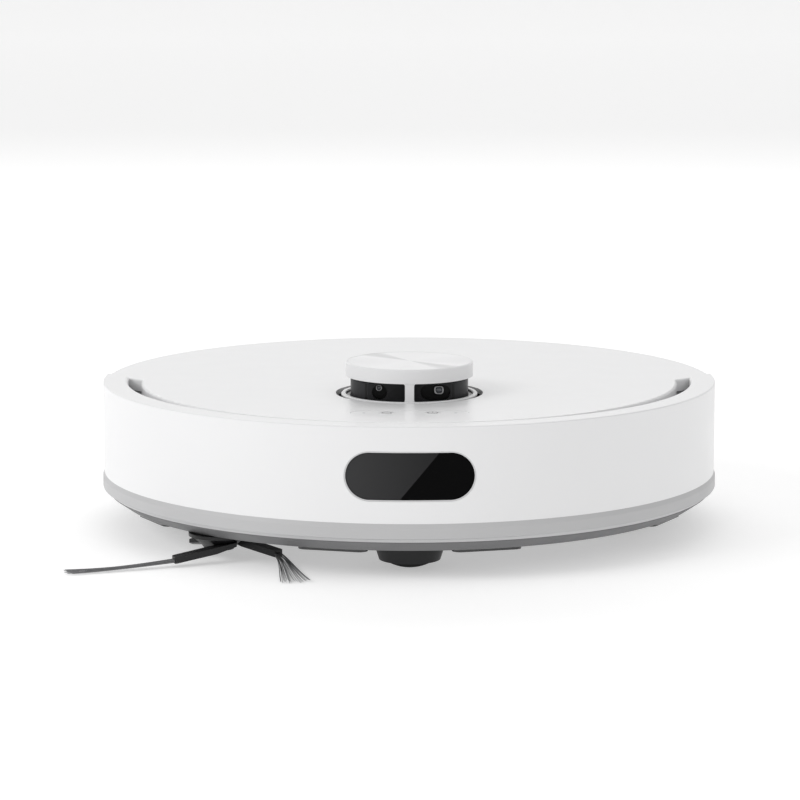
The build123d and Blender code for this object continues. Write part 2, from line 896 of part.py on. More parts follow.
bay_r = brush_r + 1.6
with BuildPart() as brush_housing:
    with BuildSketch(Plane.YZ.offset(brush_left - 2)) as outside:
        with Locations((42, (pan_z + 48) / 2)):
            Rectangle(52, 48 - pan_z)
        fillet(outside.vertices().group_by(Axis.Y)[-1], 4)
    extrude(outside.sketch, amount=brush_right - brush_left + 7)
    with BuildSketch(Plane.YZ.offset(brush_left)) as cavity:
        with Locations((brush_y, brush_z)):
            Circle(bay_r)
        with Locations((brush_y, brush_z / 2)):
            Rectangle(2 * bay_r, brush_z)
    extrude(cavity.sketch, amount=brush_right - brush_left + 3, mode=Mode.SUBTRACT)
    block(-intake_half, intake_half, brush_y, 80, 27, 43, mode=Mode.SUBTRACT)
    rod(brush_left - 4, brush_left, brush_y, brush_z, 4, mode=Mode.SUBTRACT)
    rod(brush_right + 3, brush_right + 7, brush_y, brush_z, 2.5, mode=Mode.SUBTRACT)
save(brush_housing, "brush_housing")

with BuildPart() as bin_seal:
    with BuildSketch(Plane.XZ.offset(-68)) as seal:
        with Locations((0, 35)):
            RectangleRounded(84, 24, 4)
            RectangleRounded(77, 17, 3, mode=Mode.SUBTRACT)
    extrude(seal.sketch, amount=-3.6)
save(bin_seal, "bin_seal")

with BuildPart() as brush_motor:
    rod(-122, -84, 88, 40, 14)
    with BuildSketch(Plane.YZ.offset(-84)) as gears:
        with Locations((brush_y, brush_z + 4)):
            Circle(6.5)
        with Locations((88, 40)):
            Circle(14)
        make_hull()
    extrude(gears.sketch, amount=6.6)
    rod(-84, brush_left + 5, brush_y, brush_z, 2.6)
save(brush_motor, "brush_motor")

with BuildPart() as brush_core:
    rod(brush_left + 1, brush_right, brush_y, brush_z, 8)
    rod(brush_right, brush_right + 4.5, brush_y, brush_z, 2.4)
    rod(brush_left, brush_left + 6, brush_y, brush_z, 2.66, mode=Mode.SUBTRACT)
save(brush_core, "brush_core")

vane_count = 6
with BuildPart() as brush_vanes:
    rod(brush_left + 6, brush_right - 6, brush_y, brush_z, 11)
    with Locations(Location(((brush_left + brush_right) / 2, brush_y, brush_z), (0, 90, 0))):
        with PolarLocations(14.5, vane_count):
            Box(11, 2.6, brush_right - brush_left - 12)
    rod(brush_left, brush_right, brush_y, brush_z, 8, mode=Mode.SUBTRACT)
save(brush_vanes, "brush_vanes")

guard_x0, guard_x1 = brush_left - 6, brush_right + 8
with BuildPart() as brush_guard:
    block(guard_x0, guard_x1, 14, 66, 12.6, 14.8)
    block(guard_x0 + 6.4, guard_x1 - 6.4, 19, 61, 0, 20, mode=Mode.SUBTRACT)
    for step in (-1.5, -0.5, 0.5, 1.5):
        x = (guard_x0 + guard_x1) / 2 + step * 38
        with BuildSketch(Plane.YZ.offset(x - 1.1)) as rib:
            with Locations((brush_y, 0)):
                Rectangle(46, 40)
            with Locations((brush_y, brush_z)):
                Circle(brush_r + 0.35, mode=Mode.SUBTRACT)
        extrude(rib.sketch, amount=2.2)
    block(guard_x0, guard_x1, 14, 66, 12.6, 14.8, mode=Mode.INTERSECT)
    # hinge barrel
    rod(guard_x0, guard_x1, 66, 13.7, 1.1)
save(brush_guard, "brush_guard")

# --- Dust bin ------------------------------------------------------------------------------


def bin_plan(inset):
    """Plan outline of the bin, drawn in by inset, as a face in the open sketch."""
    Circle(bin_rear_r - inset)
    with Locations((0, bin_front + inset + beyond / 2)):
        Rectangle(2 * (bin_half_width - inset), beyond, mode=Mode.INTERSECT)


with BuildPart() as bin_body:
    with BuildSketch(Plane.XY.offset(bin_bottom)) as outer:
        bin_plan(0)
    extrude(outer.sketch, amount=bin_top - bin_bottom)
    with BuildSketch(Plane.XY.offset(bin_bottom + 2)) as inner:
        bin_plan(2)
    extrude(inner.sketch, amount=60, mode=Mode.SUBTRACT)
    block(-intake_half, intake_half, bin_front - 5, bin_front + 5, 28, 42, mode=Mode.SUBTRACT)
    block(bin_half_width - 5, bin_half_width + 5, 92, 124, 40, 62, mode=Mode.SUBTRACT)
save(bin_body, "bin_body")

with BuildPart() as bin_filter:
    block(bin_half_width - 14, bin_half_width - 2.4, 88, 128, 36, 66)
    for step in range(6):
        y = 93 + 6 * step
        block(bin_half_width - 20, bin_half_width - 10, y - 1, y + 1, 39, 63, mode=Mode.SUBTRACT)
save(bin_filter, "bin_filter")

handle_y = 112.0
with BuildPart() as bin_lid:
    with BuildSketch(Plane.XY.offset(bin_top)) as lid:
        bin_plan(0)
    extrude(lid.sketch, amount=2.6)
    block(-24, 24, handle_y - 13, handle_y + 13, bin_top - 9, bin_top)
    block(-22, 22, handle_y - 11, handle_y + 11, bin_top - 7, cover_top, mode=Mode.SUBTRACT)
    # finger bar across the well
    rod(-22.5, 22.5, handle_y, bin_top, 2.6)
save(bin_lid, "bin_lid")

# --- Fan -----------------------------------------------------------------------------------

with BuildPart() as fan_housing:
    post(fan_x, fan_y, fan_r, pan_z, 66)
    post(fan_x, fan_y, fan_r - 1.5, 20, 64.5, mode=Mode.SUBTRACT)
    block(fan_x - fan_r - 2, fan_x - fan_r + 9, fan_y + 2, fan_y + 14, 40, 62, mode=Mode.SUBTRACT)
    with Locations(Location((fan_x, fan_y, outlet_z), (0, 0, outlet_angle))):
        with Locations((fan_r, 0, 0)):
            Box(16, 26, 20, mode=Mode.SUBTRACT)
save(fan_housing, "fan_housing")

with BuildPart() as fan_motor:
    post(fan_x, fan_y, 14, 20, 42)
    post(fan_x, fan_y, 2, 42, 58)
save(fan_motor, "fan_motor")

with BuildPart() as fan_impeller:
    turn([(2.06, 45), (21, 45), (21, 46.5), (6, 52), (6, 60), (2.06, 60)], fan_x, fan_y)
    with Locations((fan_x, fan_y, 51)):
        with PolarLocations(13, 9):
            Box(16, 1.4, 11)
save(fan_impeller, "fan_impeller")
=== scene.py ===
import bpy
import bmesh
import json
import math
import random
from mathutils import Matrix, Vector


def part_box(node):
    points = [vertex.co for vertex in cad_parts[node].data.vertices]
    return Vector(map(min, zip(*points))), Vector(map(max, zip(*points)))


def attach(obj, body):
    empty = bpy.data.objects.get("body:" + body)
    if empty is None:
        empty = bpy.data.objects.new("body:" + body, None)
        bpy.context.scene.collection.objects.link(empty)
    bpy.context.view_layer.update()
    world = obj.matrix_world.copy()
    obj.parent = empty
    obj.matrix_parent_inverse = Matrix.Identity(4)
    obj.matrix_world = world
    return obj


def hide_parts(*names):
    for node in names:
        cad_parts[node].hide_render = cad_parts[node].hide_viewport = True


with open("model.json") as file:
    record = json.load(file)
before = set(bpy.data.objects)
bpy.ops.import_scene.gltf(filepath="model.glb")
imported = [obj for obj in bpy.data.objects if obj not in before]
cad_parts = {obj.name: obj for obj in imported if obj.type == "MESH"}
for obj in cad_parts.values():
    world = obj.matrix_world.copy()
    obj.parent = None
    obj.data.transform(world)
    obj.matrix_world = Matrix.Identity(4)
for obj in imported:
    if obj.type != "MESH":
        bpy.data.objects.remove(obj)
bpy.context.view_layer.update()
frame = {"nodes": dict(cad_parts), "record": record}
nodes = frame["nodes"]
MM = 0.001

# --- Camera, light and floor ----------------------------------------------------------------

CAMERA_PLACE = (-0.0052, -1.8184, 0.3584)
CAMERA_PITCH = math.radians(9.04)
CAMERA_LENS = 144.7
CAMERA_REACH = 60
SKY_STRENGTH = 0.58
LIGHT_AIM = (0, 0, 0.05)
FLOOR_REACH = 9.0  # to the front, to each side and to the wall behind
FLOOR_FLAT = 6.0  # how far behind the object the floor starts to curve up
FLOOR_CURVE = FLOOR_REACH - FLOOR_FLAT
FLOOR_STEPS = 16
WALL_TOP = 7.0
FLOOR_GLOW = 0.42  # lifts the paper to plain white without flattening the contact shadow


def add_camera():
    data = bpy.data.cameras.new("camera")
    data.lens = CAMERA_LENS
    data.sensor_width = 36
    data.clip_end = CAMERA_REACH
    camera = bpy.data.objects.new("camera", data)
    camera.location = CAMERA_PLACE
    camera.rotation_euler = (math.pi / 2 - CAMERA_PITCH, 0, 0)
    bpy.context.scene.collection.objects.link(camera)
    bpy.context.scene.camera = camera


def add_light(name, spot, size, power):
    """A soft rectangular light that faces the object."""
    data = bpy.data.lights.new(name, "AREA")
    data.shape = "RECTANGLE"
    data.size, data.size_y = size
    data.energy = power
    light = bpy.data.objects.new(name, data)
    light.location = spot
    light.rotation_euler = (Vector(LIGHT_AIM) - Vector(spot)).to_track_quat("-Z", "Y").to_euler()
    bpy.context.scene.collection.objects.link(light)


def add_studio():
    world = bpy.data.worlds.new("studio")
    world.use_nodes = True
    sky = world.node_tree.nodes["Background"]
    sky.inputs["Color"].default_value = (1, 1, 1, 1)
    sky.inputs["Strength"].default_value = SKY_STRENGTH
    bpy.context.scene.world = world
    bpy.context.scene.view_settings.view_transform = "Standard"
    add_light("key", (-2.1, -1.1, 1.5), (1.4, 1.0), 22)
    add_light("fill", (1.6, -1.6, 1.4), (1.4, 1.2), 4)
    add_light("back", (0.0, 1.9, 1.5), (2.4, 0.9), 12)


def add_floor():
    """A pale floor that curves up into a wall far behind the object."""
    line = [(-FLOOR_REACH, 0.0)]
    for i in range(FLOOR_STEPS + 1):
        angle = math.pi / 2 * i / FLOOR_STEPS
        line.append((FLOOR_FLAT + FLOOR_CURVE * math.sin(angle), FLOOR_CURVE * (1 - math.cos(angle))))
    line.append((FLOOR_REACH, WALL_TOP))
    mesh = bpy.data.meshes.new("floor")
    verts = [(x, y, z) for y, z in line for x in (-FLOOR_REACH, FLOOR_REACH)]
    faces = [(2 * i, 2 * i + 1, 2 * i + 3, 2 * i + 2) for i in range(len(line) - 1)]
    mesh.from_pydata(verts, [], faces)
    mesh.shade_smooth()
    floor = bpy.data.objects.new("floor", mesh)
    bpy.context.scene.collection.objects.link(floor)
    paper = plain("floor_paper", (0.72, 0.72, 0.72), 0.9, grain=400, depth=0.00002, mottle=0.004,
                  specular=0.1)
    glow = principled(paper)
    glow.inputs["Emission Color"].default_value = (1, 1, 1, 1)
    glow.inputs["Emission Strength"].default_value = FLOOR_GLOW
    mesh.materials.append(paper)


# --- Shader helpers -------------------------------------------------------------------------


def principled(material):
    return material.node_tree.nodes["Principled BSDF"]


def shader(name):
    """A new material with its node tree and its Principled shader."""
    material = bpy.data.materials.new(name)
    material.use_nodes = True
    return material, material.node_tree, principled(material)


def place(tree):
    """Where a point lies in the part's own frame."""
    return tree.nodes.new("ShaderNodeTexCoord").outputs["Object"]


def axes(tree, vector):
    """The X, Y and Z of a vector."""
    split = tree.nodes.new("ShaderNodeSeparateXYZ")
    tree.links.new(vector, split.inputs[0])
    return split.outputs


def noise(tree, vector, scale, detail=3.0, roughness=0.5):
    node = tree.nodes.new("ShaderNodeTexNoise")
    node.inputs["Scale"].default_value = scale
    node.inputs["Detail"].default_value = detail
    node.inputs["Roughness"].default_value = roughness
    tree.links.new(vector, node.inputs["Vector"])
    return node.outputs["Fac"]


def remap(tree, value, low, high, start=0.3, stop=0.7):
    """Spread a value from start..stop, the usual range of noise, over low..high."""
    node = tree.nodes.new("ShaderNodeMapRange")
    node.inputs["From Min"].default_value = start
    node.inputs["From Max"].default_value = stop
    node.inputs["To Min"].default_value = low
    node.inputs["To Max"].default_value = high
    tree.links.new(value, node.inputs["Value"])
    return node.outputs["Result"]


def step(tree, value, level, blur, below=0, above=1):
    """Change from one number to another where a value passes a level."""
    return remap(tree, value, below, above, level - blur, level + blur)


def calculate(tree, operation, *inputs):
    """A maths node; each input is a number or a socket."""
    node = tree.nodes.new("ShaderNodeMath")
    node.operation = operation
    for socket, value in zip(node.inputs, inputs):
        if isinstance(value, (int, float)):
            socket.default_value = value
        else:
            tree.links.new(value, socket)
    return node.outputs[0]


def vector_maths(tree, operation, first, second=None):
    """A vector maths node; the first input is a socket and the second, where there is one, a constant."""
    node = tree.nodes.new("ShaderNodeVectorMath")
    node.operation = operation
    tree.links.new(first, node.inputs[0])
    if second is not None:
        node.inputs[1].default_value = second
    return node.outputs


def mix(tree, factor, first, second):
    """Blend of two colours; each is a colour or a socket."""
    node = tree.nodes.new("ShaderNodeMix")
    node.data_type = "RGBA"
    tree.links.new(factor, node.inputs["Factor"])
    for socket, value in ((node.inputs[6], first), (node.inputs[7], second)):
        if isinstance(value, tuple):
            socket.default_value = (*value, 1)
        else:
            tree.links.new(value, socket)
    return node.outputs[2]


def bump(tree, bsdf, height, depth):
    node = tree.nodes.new("ShaderNodeBump")
    node.inputs["Strength"].default_value = 1.0
    node.inputs["Distance"].default_value = depth
    tree.links.new(height, node.inputs["Height"])
    tree.links.new(node.outputs["Normal"], bsdf.inputs["Normal"])


def shade(colour, amount):
    return tuple(min(1.0, channel * amount) for channel in colour)


def recolour(material, factor, colour, where_one=True):
    """Lay a plain colour over a material's own where a factor is one, or else where it is zero."""
    tree = material.node_tree
    base = principled(material).inputs["Base Color"]
    own = base.links[0].from_socket
    blend = mix(tree, factor, own, colour) if where_one else mix(tree, factor, colour, own)
    tree.links.new(blend, base)


# --- Materials ------------------------------------------------------------------------------

LIP_BAND = 1.5 * MM  # the housing's pale upright edge; below it the housing's grey is painted dark as painted shade on its underside chamfer
CAP_PAINTED_SHADE_DEPTH = 0.1 * MM  # how far below the ring's top the white cap is painted black, as painted shade for the gap round the rotor
RING_PAINTED_SHADE_DEPTH = 1.1 * MM  # how far below its top the white ring is painted dark, as painted shade for the groove round it

PAINTED_STREAK_TURN = math.radians(-50)  # the heading of the dark streak painted into the cap's colour, a painted reflection of its turned finish
TURNED_RINGS = 2600  # per metre of radius

RECESS_SIDE = 6 * MM  # how far the eye recesses reach past the lenses to each side
RECESS_FRONT = 1.3 * MM
RECESS_BACK = 1.0 * MM
RECESS_FOOT = 9.6 * MM  # below the rotor's top
RECESS_TOP = 0.4 * MM

# The slant of the painted reflection's edge across the window.
PAINTED_REFLECTION_SLANT = 0.83
PAINTED_REFLECTION_SHIFT = 5 * MM  # how far to the right of the window's middle the painted reflection ends

SATIN = {"depth": 0.0000004, "mottle": 0.004}


def plain(name, colour, rough, grain=900, depth=0.00003, mottle=0.03, coat=0.0, metal=0.0, specular=0.5):
    """Moulded or finished surface: fine grain, faint mottling and uneven gloss. grain is per metre."""
    material, tree, bsdf = shader(name)
    vector = place(tree)
    cloud = remap(tree, noise(tree, vector, 14), 0, 1)
    mottled = mix(tree, cloud, shade(colour, 1 - mottle), shade(colour, 1 + mottle))
    tree.links.new(mottled, bsdf.inputs["Base Color"])
    smudge = noise(tree, vector, 60, detail=5)
    gloss = remap(tree, smudge, rough * 0.85, min(1, rough * 1.15))
    tree.links.new(gloss, bsdf.inputs["Roughness"])
    bump(tree, bsdf, noise(tree, vector, grain, detail=2), depth)
    bsdf.inputs["Metallic"].default_value = metal
    bsdf.inputs["Specular IOR Level"].default_value = specular
    bsdf.inputs["Coat Weight"].default_value = coat
    bsdf.inputs["Coat Roughness"].default_value = 0.08
    return material


def painted_shade_below(name, upper, lower, level, rough, **finish):
    """A surface with its own colour above a height and a painted shade colour below it."""
    material = plain(name, upper, rough, **finish)
    tree = material.node_tree
    above = step(tree, axes(tree, place(tree))["Z"], level, 0.1 * MM)
    recolour(material, above, lower, where_one=False)
    return material


def turned_painted_streak(name, colour, rough, centre):
    """Turned finish: fine rings about a vertical axis, with a dark streak painted into the colour along one
    line through it as painted reflection.
    """
    material, tree, bsdf = shader(name)
    offset = vector_maths(tree, "SUBTRACT", place(tree), centre)[0]
    flat = vector_maths(tree, "MULTIPLY", offset, (1, 1, 0))[0]
    line = tree.nodes.new("ShaderNodeCombineXYZ")
    tree.links.new(vector_maths(tree, "LENGTH", flat)["Value"], line.inputs["X"])
    ring = noise(tree, line.outputs[0], TURNED_RINGS, detail=4, roughness=0.7)
    split = axes(tree, flat)
    heading = calculate(tree, "ARCTAN2", split["Y"], split["X"])
    doubled = calculate(tree, "MULTIPLY_ADD", heading, 2, -2 * PAINTED_STREAK_TURN)
    wave = calculate(tree, "COSINE", doubled)
    polish = mix(tree, remap(tree, ring, 0, 1), shade(colour, 0.97), shade(colour, 1.02))
    # Two opposite dark wedges painted into the base colour: painted reflection of the turned finish's
    # sheen.
    painted_streak = remap(tree, wave, 0, 1, 0.86, 1.0)
    tree.links.new(mix(tree, painted_streak, polish, shade(colour, 0.74)), bsdf.inputs["Base Color"])
    tree.links.new(remap(tree, ring, rough * 0.8, rough * 1.2), bsdf.inputs["Roughness"])
    bump(tree, bsdf, ring, 0.00002)
    tangent = tree.nodes.new("ShaderNodeTangent")
    tangent.direction_type = "RADIAL"
    tangent.axis = "Z"
    tree.links.new(tangent.outputs["Tangent"], bsdf.inputs["Tangent"])
    bsdf.inputs["Metallic"].default_value = 0.35
    bsdf.inputs["Anisotropic"].default_value = 0.7
    return material


def inside(tree, value, low, high):
    """1 where a value lies between two limits, and 0 elsewhere."""
    blur = 0.05 * MM
    above = step(tree, value, low, blur)
    below = step(tree, value, high, blur, 1, 0)
    return calculate(tree, "MULTIPLY", above, below)


def rotor_plastic(name):
    """Charcoal plastic, painted near-black inside the two eye recesses as painted shade."""
    material = plain(name, (0.022, 0.022, 0.024), 0.45, grain=1500, depth=0.000004, mottle=0.06,
                     specular=0.3)
    tree = material.node_tree
    at = axes(tree, place(tree))
    low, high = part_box("lidar_lenses")
    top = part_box("lidar_rotor")[1][2]
    deep = inside(tree, at["Y"], low[1] - RECESS_FRONT, high[1] + RECESS_BACK)
    wide = inside(tree, at["X"], low[0] - RECESS_SIDE, high[0] + RECESS_SIDE)
    tall = inside(tree, at["Z"], top - RECESS_FOOT, top - RECESS_TOP)
    # Near-black painted over the boxes round the lenses: painted shade in the eye recesses.
    recess = calculate(tree, "MULTIPLY", calculate(tree, "MULTIPLY", deep, wide), tall)
    recolour(material, recess, (0.0015, 0.0015, 0.0015))
    return material


def window_glass(name, node):
    """Black infrared glass with a painted reflection: a grey sheen fading across one end, cut on the slant,
    and black beyond it.
    """
    material = plain(name, (0.0012, 0.0012, 0.0014), 0.07, grain=300, depth=0.000001, specular=0.05)
    tree = material.node_tree
    low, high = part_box(node)
    at = axes(tree, place(tree))
    slant = calculate(tree, "MULTIPLY_ADD", at["Z"], -PAINTED_REFLECTION_SLANT, at["X"])
    edge = (low[0] + high[0]) / 2 + PAINTED_REFLECTION_SHIFT - PAINTED_REFLECTION_SLANT * (low[2] + high[2]) / 2
    # A grey gradient painted over one end of the glass, cut on a slant: painted reflection of a softbox.
    painted_reflection = step(tree, slant, edge, 0.15 * MM)
    reflection_fade = remap(tree, at["X"], 0, 1, low[0], high[0])
    reflection_grey = mix(tree, reflection_fade, (0.046, 0.046, 0.047), (0.012, 0.012, 0.013))
    blend = mix(tree, painted_reflection, reflection_grey, (0.0004, 0.0004, 0.0005))
    tree.links.new(blend, principled(material).inputs["Base Color"])
    return material


def lens_glass(name, colour):
    material, tree, bsdf = shader(name)
    haze = noise(tree, place(tree), 220)
    tree.links.new(mix(tree, haze, shade(colour, 0.6), colour), bsdf.inputs["Base Color"])
    tree.links.new(remap(tree, haze, 0.03, 0.07), bsdf.inputs["Roughness"])
    bsdf.inputs["Coat Weight"].default_value = 1.0
    bsdf.inputs["Coat Roughness"].default_value = 0.02
    return material


def paint(material, *names):
    """Give CAD nodes a material."""
    for name in names:
        slots = nodes[name].data.materials
        slots.clear()
        slots.append(material)


def finish_outside():
    """The pale outer parts, the window and the turret."""
    ring_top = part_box("turret_ring")[1][2]
    paint(plain("shell_white", (0.86, 0.86, 0.865), 0.34, grain=2500, coat=0.15, **SATIN),
          "bumper_shell", "top_cover", "rear_shell", "button_panel")
    # The cap's white is painted black low down: painted shade in the gap round the rotor.
    paint(painted_shade_below("cap_white_painted_shade", (0.84, 0.84, 0.845), (0.004, 0.004, 0.004), ring_top - CAP_PAINTED_SHADE_DEPTH, 0.34,
                   coat=0.15, **SATIN), "turret_cap")
    # The ring's white is painted dark below its ledge: painted shade in the groove round the turret.
    paint(painted_shade_below("ring_white_painted_shade", (0.84, 0.84, 0.845), (0.05, 0.05, 0.05), ring_top - RING_PAINTED_SHADE_DEPTH, 0.34,
                   **SATIN), "turret_ring")
    paint(plain("key_white", (0.84, 0.84, 0.845), 0.28, grain=2500, depth=0.0000004, mottle=0.006,
                coat=0.3), "home_button", "power_button")
    paint(plain("strip_grey", (0.52, 0.52, 0.525), 0.5, grain=1800, depth=0.000004, mottle=0.015),
          "bumper_skirt", "rear_skirt")
    paint(plain("bezel_grey", (0.66, 0.66, 0.665), 0.3, grain=1800, depth=0.000002), "bumper_bezel")
    paint(window_glass("window_black", "bumper_window"), "bumper_window")
    paint(plain("sensor_black", (0.006, 0.006, 0.007), 0.08, grain=300, depth=0.000001, coat=0.6),
          "rear_window", "cliff_sensors")
    paint(plain("led_lens", (0.88, 0.9, 0.93), 0.15, grain=800, depth=0.00001), "button_leds")
    paint(rotor_plastic("rotor_charcoal"), "lidar_rotor")
    paint(turned_painted_streak("cap_turned_painted_streak", (0.78, 0.78, 0.785), 0.42, joint_place("lidar_spin")), "turret_cap_disc")


def finish_chassis():
    """The underside, the running gear and what is under the cover."""
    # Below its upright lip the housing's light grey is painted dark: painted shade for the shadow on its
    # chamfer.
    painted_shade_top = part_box("lower_housing")[1][2] - LIP_BAND
    paint(painted_shade_below("housing_grey_painted_shade", (0.66, 0.66, 0.665), (0.17, 0.17, 0.174), painted_shade_top, 0.5,
                   depth=0.000004, mottle=0.03, specular=0.3), "lower_housing")
    paint(plain("chassis_grey", (0.17, 0.17, 0.174), 0.5, grain=1400, depth=0.00001, mottle=0.04,
                specular=0.3), "battery_door", "chassis_wall")
    paint(plain("deck_grey", (0.12, 0.12, 0.125), 0.6, grain=1200, depth=0.00001, mottle=0.04),
          "mid_deck", "suspension_mounts", "brush_housing", "fan_housing")
    paint(plain("dark_plastic", (0.012, 0.012, 0.013), 0.45, grain=1500, depth=0.00001, mottle=0.1,
                specular=0.35),
          "lidar_base", "bumper_switches", "speaker", "side_brush_motor", "caster_socket",
          "caster_fork", "brush_motor", "brush_core", "brush_guard", "fan_impeller",
          "drive_arm_left", "drive_arm_right")
    paint(plain("hub_grey", (0.05, 0.05, 0.052), 0.5, grain=1200, depth=0.00001),
          "wheel_hub_left", "wheel_hub_right")
    paint(plain("tread_rubber", (0.008, 0.008, 0.008), 0.8, grain=1600, depth=0.00003, mottle=0.15,
                specular=0.2), "tyre_left", "tyre_right", "caster_wheel")
    paint(plain("brush_rubber", (0.014, 0.014, 0.015), 0.4, grain=1600, depth=0.00001, mottle=0.1,
                specular=0.35), "side_brush_hub", "lidar_belt", "bin_seal")
    paint(plain("steel", (0.62, 0.62, 0.63), 0.28, grain=2200, depth=0.000006, metal=1.0),
          "housing_screws", "cover_magnets", "charging_contacts", "lidar_motor", "fan_motor",
          "side_brush_screw", "caster_axle", "lidar_pulley")
    paint(plain("board_green", (0.02, 0.11, 0.045), 0.4, grain=500, depth=0.00005, mottle=0.2),
          "main_board")
    paint(plain("battery_wrap", (0.03, 0.05, 0.09), 0.35, grain=300, depth=0.0001, mottle=0.1),
          "battery_pack")
    paint(plain("bin_smoke", (0.05, 0.05, 0.055), 0.2, grain=1200, depth=0.000004, coat=0.5),
          "bin_body", "bin_lid")
    paint(plain("filter_felt", (0.72, 0.71, 0.67), 0.95, grain=700, depth=0.0003, mottle=0.06),
          "bin_filter")


# --- Mesh helpers ---------------------------------------------------------------------------


def joint_place(name):
    """Where a joint's axis passes, at rest."""
    for joint in frame["record"]["behaviour"]["joints"]:
        if joint["name"] == name:
            return Vector(joint["pos_m"])


def box_of(node):
    """The two corners of a CAD node's box."""
    return [Vector(corner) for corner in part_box(node)]


def add_piece(name, mesh, material, body, slot, *replaced):
    mesh.materials.append(material)
    piece = bpy.data.objects.new(name, mesh)
    bpy.context.scene.collection.objects.link(piece)
    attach(piece, body)
    if replaced:
        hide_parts(*replaced)


def mesh_from(bm, name, smooth=True):
    bmesh.ops.recalc_face_normals(bm, faces=bm.faces)
    mesh = bpy.data.meshes.new(name)
    bm.to_mesh(mesh)
    bm.free()
    if smooth:
        mesh.shade_smooth()
    return mesh


def band(bm, ring, after):
    """Faces between two rings of as many points."""
    count = len(ring)
    for k in range(count):
        bm.faces.new((ring[k], ring[(k + 1) % count], after[(k + 1) % count], after[k]))


def close_ends(bm, rings):
    bm.faces.new(rings[0][::-1])
    bm.faces.new(rings[-1])


def sweep_tube(bm, points, radii, sides):
    """A closed tube of varying radius along a list of points."""
    rings = []
    for i, point in enumerate(points):
        ahead = points[min(i + 1, len(points) - 1)] - points[max(i - 1, 0)]
        turn = ahead.to_track_quat("Z", "Y")
        ring = []
        for k in range(sides):
            angle = 2 * math.pi * k / sides
            spoke = Vector((radii[i] * math.cos(angle), radii[i] * math.sin(angle), 0))
            ring.append(bm.verts.new(point + turn @ spoke))
        rings.append(ring)
    for low, high in zip(rings, rings[1:]):
        band(bm, low, high)
    close_ends(bm, rings)


def bezier(start, pull_a, pull_b, end, steps):
    """Points along a cubic curve."""
    line = []
    for i in range(steps + 1):
        t = i / steps
        u = 1 - t
        line.append(start * u ** 3 + pull_a * 3 * u * u * t + pull_b * 3 * u * t * t + end * t ** 3)
    return line


# --- Side brush -----------------------------------------------------------------------------

ARM_TIP = Vector((-23.0, -24.3, 3.7)) * MM
ARM_HEADING = math.radians(204.8)
BUNDLES = ((0, 198, 3.5), (120, 281, 9.0), (240, 76, 6.0))  # arm, heading and half spread, in degrees
FIBRE_LENGTH = 60 * MM
FIBRES = 34
FIBRE_STEPS = 12
FIBRE_TAPER = 0.45
ROOT_HALF_WIDTH = 2.2 * MM
ROOT_DEPTH = 2 * MM  # how far a fibre starts inside its arm
LEAST_HEIGHT = 0.45 * MM


def add_side_brush_fibres():
    """Three bundles of stiff fibres that leave the arms and bend until they lie on the floor."""
    rng = random.Random(4)
    hub = joint_place("side_brush_spin")
    hub.z = 0
    material = plain("fibre_grey", (0.20, 0.20, 0.205), 0.5, grain=3000, depth=0.000004, mottle=0.25)
    for number, (turned, spread, fan) in enumerate(BUNDLES, 1):
        turn = Matrix.Rotation(math.radians(turned), 3, "Z")
        root = hub + turn @ ARM_TIP
        heading = ARM_HEADING + math.radians(turned)
        along = Vector((math.cos(heading), math.sin(heading), 0))
        side = Vector((-along.y, along.x, 0))
        bm = bmesh.new()
        for _ in range(FIBRES):
            across = rng.uniform(-1, 1)
            lift = Vector((0, 0, rng.uniform(-0.9, 0.9) * MM))
            start = root + side * across * ROOT_HALF_WIDTH + lift - along * ROOT_DEPTH
            angle = math.radians(spread + across * fan + rng.uniform(-1.5, 1.5))
            length = FIBRE_LENGTH * rng.uniform(0.93, 1.0)
            out = Vector((math.cos(angle), math.sin(angle), 0))
            end = root + out * length
            end.z = LEAST_HEIGHT + rng.uniform(0.0, 1.4) * MM
            pull_a = start + (along * 0.4 + out * 0.6) * 0.18 * length - Vector((0, 0, 0.6 * MM))
            pull_b = root + out * 0.55 * length + side * across * 1.5 * MM
            pull_b.z = LEAST_HEIGHT + 0.2 * MM
            radius = rng.uniform(0.17, 0.26) * MM
            line = bezier(start, pull_a, pull_b, end, FIBRE_STEPS)
            for point in line:
                point.z = max(point.z, LEAST_HEIGHT)
            radii = [radius * (1 - FIBRE_TAPER * i / FIBRE_STEPS) for i in range(FIBRE_STEPS + 1)]
            sweep_tube(bm, line, radii, sides=5)
        add_piece(f"side_brush_fibres_{number}", mesh_from(bm, "fibres"), material, "side_brush",
                  "bristle", "side_brush_bristles")


# --- Main brush -----------------------------------------------------------------------------

FIN_COUNT = 6
CHEVRON = math.radians(58)  # how far a fin turns from the middle of the roller to its end
SLEEVE_R = 11 * MM
BORE_R = 8.05 * MM
SLEEVE_BEVEL = 0.5 * MM
SLEEVE_SIDES = 48
FIN_STEPS = 60
FIN_END = 1 * MM  # bare sleeve past each end of a fin
TUFT_END = 1.5 * MM
TUFTS = 44
TUFT_FIBRES = 7


def fin_angle(index, share):
    return 2 * math.pi * index / FIN_COUNT + CHEVRON * abs(2 * share - 1)


def add_sleeve(bm, low, high, axis):
    rings = []
    for x, r in ((low.x, BORE_R), (low.x, SLEEVE_R - SLEEVE_BEVEL), (low.x + SLEEVE_BEVEL, SLEEVE_R),
                 (high.x - SLEEVE_BEVEL, SLEEVE_R), (high.x, SLEEVE_R - SLEEVE_BEVEL), (high.x, BORE_R)):
        turns = (2 * math.pi * k / SLEEVE_SIDES for k in range(SLEEVE_SIDES))
        rings.append([bm.verts.new((x, axis.y + r * math.cos(a), axis.z + r * math.sin(a)))
                      for a in turns])
    for ring, after in zip(rings, rings[1:] + rings[:1]):
        band(bm, ring, after)


